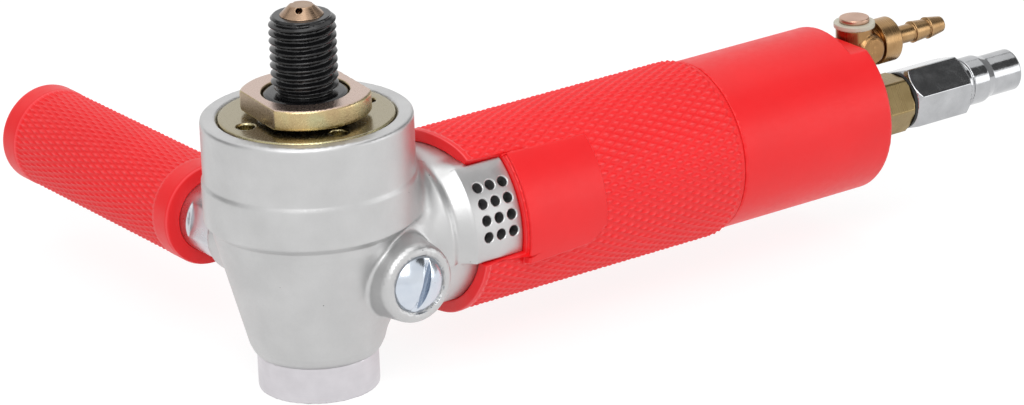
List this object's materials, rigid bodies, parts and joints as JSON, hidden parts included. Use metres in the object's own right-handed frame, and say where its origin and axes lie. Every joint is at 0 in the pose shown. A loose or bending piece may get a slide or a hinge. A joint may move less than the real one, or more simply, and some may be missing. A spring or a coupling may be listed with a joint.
{
  "type": "air wet polisher",
  "caption": "Hand-held air polisher: bevel gear head with a hollow water-fed threaded spindle and flange, knurled main handle with twist throttle, water valve, air plug and side handle.",
  "frame": {"origin": "on the spindle axis, in the plane of the flange's pad seat at the foot of the thread", "axes": "+Z along the spindle to its threaded end, +X along the main handle to the air inlet, +Y along the side handle"},
  "size_m": [0.2455, 0.1538, 0.0956],
  "materials": {
    "cast_aluminium": "satin die casting",
    "machined_aluminium": "fine turned",
    "yellow_zinc_steel": "turned, yellow passivated zinc",
    "black_steel": "black oxide, oiled",
    "brass": "turned",
    "red_plastic": "moulded, semi-matte",
    "chrome_steel": "plated, polished",
    "nylon": "natural, punched",
    "black_rubber": "moulded",
    "bearing_steel": "ground",
    "gear_steel": "cut and hardened",
    "spring_steel": "blued",
    "cylinder_iron": "honed",
    "vane_resin": "laminated",
    "felt": "pressed"
  },
  "bodies": {
    "tool": {"housing": "cast_aluminium", "inlet_body": "cast_aluminium", "bottom_cap": "machined_aluminium", "rear_end_plate": "machined_aluminium", "front_end_plate": "machined_aluminium", "bearing_cover": "yellow_zinc_steel", "water_valve_body": "brass", "hose_barb": "brass", "inlet_bushing": "brass", "water_tube": "brass", "grip_sleeve": "red_plastic", "side_handle_grip": "red_plastic", "air_plug": "chrome_steel", "side_plug": "chrome_steel", "side_handle_stud": "chrome_steel", "valve_washers": "nylon", "spindle_seal": "black_rubber", "water_seal": "black_rubber", "inlet_gasket": "black_rubber", "inlet_orings": "black_rubber", "valve_orings": "black_rubber", "upper_bearing_outer": "bearing_steel", "upper_bearing_balls": "bearing_steel", "lower_bearing_outer": "bearing_steel", "lower_bearing_balls": "bearing_steel", "front_motor_bearing_outer": "bearing_steel", "front_motor_bearing_balls": "bearing_steel", "rear_motor_bearing_outer": "bearing_steel", "rear_motor_bearing_balls": "bearing_steel", "bearing_snap_ring": "spring_steel", "motor_dowel": "spring_steel", "throttle_stop_pin": "spring_steel", "motor_cylinder": "cylinder_iron", "exhaust_felt": "felt"},
    "spindle_set": {"spindle": "black_steel", "pad_flange": "yellow_zinc_steel", "water_nozzle": "brass", "ring_gear": "gear_steel", "gear_key": "spring_steel", "gear_clip": "spring_steel", "upper_bearing_inner": "bearing_steel", "lower_bearing_inner": "bearing_steel"},
    "rotor_set": {"rotor": "gear_steel", "rotor_vanes": "vane_resin", "bevel_pinion": "gear_steel", "front_motor_bearing_inner": "bearing_steel", "rear_motor_bearing_inner": "bearing_steel", "rotor_clip": "spring_steel"},
    "throttle": {"throttle_sleeve": "red_plastic"},
    "water_button": {"water_valve_spool": "brass", "valve_clip": "spring_steel"}
  },
  "joints": [
    {"name": "spindle_spin", "type": "hinge", "parent": "tool", "child": "spindle_set", "pos_m": [0, 0, 0], "axis": [0, 0, 1], "continuous": true},
    {"name": "rotor_spin", "type": "hinge", "parent": "tool", "child": "rotor_set", "pos_m": [0.06, 0, -0.0417], "axis": [1, 0, 0], "continuous": true},
    {"name": "throttle_twist", "type": "hinge", "parent": "tool", "child": "throttle", "pos_m": [0.13825, 0, -0.0417], "axis": [1, 0, 0], "range_deg": [0, 30]},
    {"name": "water_button_slide", "type": "slide", "parent": "tool", "child": "water_button", "axis": [0, 0, 1], "range_m": [0, 0.0024]}
  ],
  "couplings": [
    {"joint": "rotor_spin", "follows": "spindle_spin", "ratio": -2.5}
  ]
}
